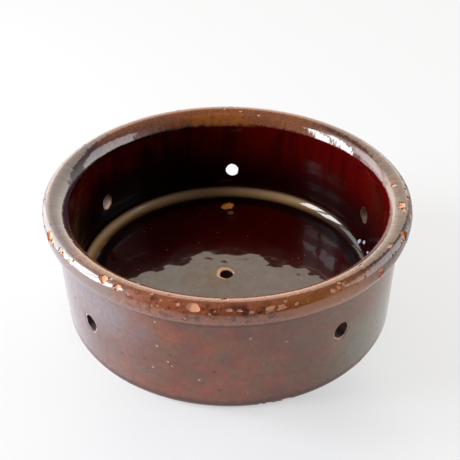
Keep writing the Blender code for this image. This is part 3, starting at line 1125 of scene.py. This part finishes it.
# %% Paint the rim
RIM_BROWN, RIM_DARK, RIM_MAUVE = (0.235, 0.075, 0.030), (0.072, 0.029, 0.021), (0.042, 0.023, 0.038)

on_rim = fade(height, 50.0, 55.0)
right_side, far_left = fade(side, 30.0, 62.0), fade(side, -56.0, -74.0)
rim_sides = both(on_rim, either(right_side, far_left))
colour = tint(colour, (on_rim, RIM_BROWN, 0.75), (rim_sides, RIM_DARK, 0.8),
              (both(on_rim, far_left), RIM_MAUVE, 0.8))
dappled = ramp(cloud(where, 0.45, 4.0, 0.6), 0.35, 0.65, 0.2, 1.5)
colour = blend(both(on_rim, right_side, 0.7), colour, dappled, "MULTIPLY")
strokes = cloud(around, 0.7, 3.0, 0.6)
colour = blend(both(on_rim, 0.3), colour, ramp(strokes, 0.3, 0.7, 0.45, 1.5), "MULTIPLY")
freckled = ramp(cloud(where, 1.3, 4.0, 0.65), 0.3, 0.7, 0.35, 1.65)
colour = blend(scaled(on_rim, 0.75, 0.05), colour, freckled, "MULTIPLY")
count("rim")

# %% [markdown]
# On the rim's outer edge the coat is thinnest: orange-brown at the front with burnt blotches, amber
# at the front right, scuffed near the middle, and mauve at the left from a painted sheen.

# %% Paint the outer edge
EDGE_SHEEN_MAUVE, LIP_ORANGE, BURNT = (0.150, 0.092, 0.088), (0.34, 0.095, 0.036), (0.060, 0.009, 0.004)
GLOWING, SCUFFED = (0.32, 0.090, 0.010), (0.32, 0.085, 0.045)
GLOWING_SPOT, SCUFFED_SPOT = (38.0, -72.0, 58.0), (-20.0, -80.0, 59.0)

edge = both(on_rim, fade(radius, 80.5, 83.0))
# painted sheen: the left of the edge is tinted mauve, the colour of the window's light on it
mauve = both(edge, fade(side, -32.0, -54.0))
lip = both(edge, fade(part(frayed, "Y"), -50.0, -70.0), fade(side, -54.0, -32.0))
burnt = both(lip, fade(cloud(where, 0.32, 5.0, 0.65), 0.47, 0.60))
glowing = both(edge, patch(frayed, GLOWING_SPOT, 30.0, 0.4))
scuffed = both(edge, patch(frayed, SCUFFED_SPOT, 26.0))
scuffed = both(scuffed, fade(cloud(where, 0.5, 3.0), 0.42, 0.58))
colour = tint(colour, (mauve, EDGE_SHEEN_MAUVE, 0.75), (lip, LIP_ORANGE, 0.7), (burnt, BURNT, 0.85),
              (glowing, GLOWING, 0.85), (scuffed, SCUFFED, 0.4))
count("outer edge")

# %% [markdown]
# Specks of iron and of bare clay lie all over, and some pits are plain enough in the photograph to
# be placed where it shows them. A pit is given by its place, its reach and its colour.

# %% Scatter specks and pits
IRON, CLAY_SPECK = (0.035, 0.012, 0.010), (0.55, 0.36, 0.28)
PALE_PIT, ORANGE_PIT, DARK_PIT = (0.62, 0.46, 0.38), (0.62, 0.20, 0.06), (0.020, 0.008, 0.006)
PITS = (
    ((-28.7, -74.0, 31.8), 0.8, PALE_PIT), ((-24.4, -75.4, 24.1), 0.7, PALE_PIT),
    ((-22.8, -75.8, 22.2), 0.6, PALE_PIT), ((-31.1, -72.7, 18.4), 0.7, PALE_PIT),
    ((-11.6, -78.2, 16.6), 0.8, PALE_PIT), ((9.2, -79.1, 40.8), 0.7, PALE_PIT),
    ((-28.8, -74.2, 45.1), 0.7, PALE_PIT), ((23.9, -75.8, 36.2), 0.9, ORANGE_PIT),
    ((-5.3, -79.0, 22.1), 1.3, DARK_PIT), ((-3.3, -78.9, 11.4), 1.2, DARK_PIT),
    ((-67.1, -42.6, 30.5), 1.2, DARK_PIT),
)

colour = tint(colour, (dotted(where, 5.0, 1.1, 0.35), IRON, 0.7),
              (dotted(where, 7.0, 0.7, 0.30), CLAY_SPECK, 0.6))
for centre, reach, shade in PITS:
    colour = tint(colour, (patch(where, centre, reach, 0.4), shade, 0.65))
print("pits:", len(PITS))

# %% [markdown]
# Inside the rim the brown coat meets the red one in a line of small teeth, where the strokes end.
# The edge above it carries a painted highlight on the right and glows amber at the back, and a painted
# shade blackens the red below the teeth on the left. Last, use has rubbed the outer edge down to the
# clay in small spots.

# %% Paint the inner edge
EDGE_HIGHLIGHT, EDGE_PAINTED_SHADE = (0.36, 0.26, 0.23), (0.010, 0.0006, 0.0005)
THIN_AMBER, RUBBED = (0.40, 0.115, 0.014), (0.70, 0.31, 0.17)
THIN_SPOT = (-8.0, 73.5, 56.5)
TOOTH_LENGTH, TOOTH_RISE = 2.4, 2.3

# painted highlight: a pale line along the rim's inner edge on the right
inner_edge_highlight = both(on_rim, fade(side, 40.0, 62.0), fade(radius, 76.4, 75.6))
teeth = sums("ADD", height, both(strokes, TOOTH_LENGTH))
teeth = sums("SUBTRACT", teeth, both(fade(side, 45.0, 68.0), TOOTH_RISE))
inward = both(fade(teeth, 57.0, 56.0), fade(radius, 76.5, 75.5))
thin = both(patch(frayed, THIN_SPOT, 27.0, 0.3), fade(radius, 77.2, 75.6))
thin = both(thin, fade(cloud(where, 0.25, 3.0), 0.30, 0.60))
rubbed = both(edge, fade(cloud(where, 0.6, 4.0, 0.6), 0.66, 0.70))
# painted shade: below the teeth the red is blackened on the left, where the light does not reach
colour = tint(colour, (inner_edge_highlight, EDGE_HIGHLIGHT, 0.6), (inward, DEEP_RED),
              (both(inward, fade(side, 0.0, -30.0)), EDGE_PAINTED_SHADE), (thin, THIN_AMBER, 0.8),
              (rubbed, RUBBED))
count("inner edge")

# %% [markdown]
# The rim and the flanks are the glossiest, and rubbed spots are matt. The relief adds up the skin,
# the brush strokes at the rim's sides, broad ripples along the rim and the throwing rings. A matt
# coat on the left of the edge gives the milky bloom there.

# %% Gloss the outer glaze
THROWN_RINGS = (0.04, 0.04, 1.0)

skin = use(glaze_skin, {"Where": where})
flanks = without(fade(sums("ABSOLUTE", side), 40.0, 70.0), on_rim)
right_edge = both(edge, right_side)
rough = ramp(skin["Cloud"], 0.0, 1.0, 0.17, 0.29)
for mask, change in ((flanks, -0.07), (on_rim, -0.15), (rubbed, 0.5), (right_edge, 0.16)):
    rough = sums("ADD", rough, both(mask, change))
ripples = both(cloud(around, 0.24, 2.0), on_rim)
rings = cloud(where, 0.35, 2.0, stretch=THROWN_RINGS)
raised = both(skin["Height"], scaled(on_rim, -0.25, 0.5))
for wavy, tall in ((both(strokes, rim_sides), 0.16), (ripples, 1.5), (rings, 0.5)):
    raised = sums("ADD", raised, both(wavy, tall))
relief = relief_of(raised, 0.40)
fire(outer_finish, {"Base Color": colour, "Roughness": rough, "Normal": relief, "IOR": 1.72,
                    "Coat Weight": both(edge, lilac), "Coat Roughness": 0.5, "Coat IOR": 1.8})

# %% [markdown]
# ## Into the frame
# Each finished piece gets its finish, rides on the bowl's one body and stands in for the solid that
# it refines.

# %% Put the pieces in the frame
for piece, material, node, slot in ((inner_coat, inner_finish, "inner_glaze", "inner_glaze"),
                                    (outer_coat, outer_finish, "outer_glaze", "outer_glaze"),
                                    (clay, fired_clay, "clay_body", "clay")):
    piece.data.materials.clear()
    piece.data.materials.append(material)
    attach(piece, "root")
    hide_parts(node)
